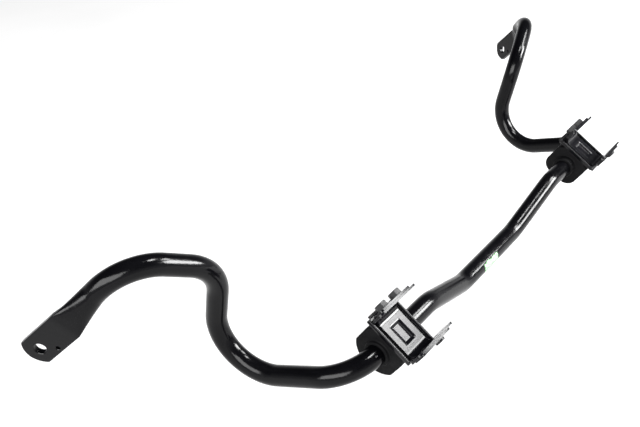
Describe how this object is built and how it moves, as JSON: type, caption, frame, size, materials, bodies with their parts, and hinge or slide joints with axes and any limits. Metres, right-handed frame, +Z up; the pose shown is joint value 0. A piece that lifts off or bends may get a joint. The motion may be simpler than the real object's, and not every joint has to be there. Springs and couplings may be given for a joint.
{
  "type": "stabilizer bar",
  "caption": "Bent stabiliser bar with flattened, holed ends, carried in split rubber bushings under strapped sheet-steel frame brackets.",
  "frame": {"origin": "middle of the line through both bushings, about which the bar turns", "axes": "+X across the car towards the right-hand bracket, +Y towards the ends of the arms, +Z up with the bar lying on a flat floor"},
  "size_m": [1.0484, 0.3182, 0.1973],
  "materials": {
    "bar_paint": "glossy black paint",
    "rubber": "matte dark grey moulded rubber",
    "strap_steel": "satin black coated sheet steel",
    "bracket_steel": "satin black coated sheet steel with bright worn edges",
    "nut_steel": "dark coated steel"
  },
  "bodies": {
    "left_bracket": {"bushing_upper_left": "rubber", "bushing_lower_left": "rubber", "strap_left": "strap_steel", "saddle_plate_left": "bracket_steel", "frame_bracket_left": "bracket_steel", "nut_plate_left": "bracket_steel", "weld_nuts_left": "nut_steel", "pad_plate_left": "bracket_steel", "clinch_nut_left": "nut_steel"},
    "bar": {"bar": "bar_paint"},
    "right_bracket": {"bushing_upper_right": "rubber", "bushing_lower_right": "rubber", "strap_right": "strap_steel", "saddle_plate_right": "bracket_steel", "frame_bracket_right": "bracket_steel", "nut_plate_right": "bracket_steel", "weld_nuts_right": "nut_steel", "pad_plate_right": "bracket_steel", "clinch_nut_right": "nut_steel"}
  },
  "joints": [
    {"name": "bar_swing", "type": "hinge", "parent": "left_bracket", "child": "bar", "pos_m": [0, 0, 0], "axis": [1, 0, 0], "range_deg": [-20, 20]},
    {"name": "right_bracket_swing", "type": "hinge", "parent": "bar", "child": "right_bracket", "pos_m": [0, 0, 0], "axis": [1, 0, 0], "range_deg": [-20, 20]}
  ],
  "couplings": [
    {"joint": "right_bracket_swing", "follows": "bar_swing", "ratio": -1}
  ]
}
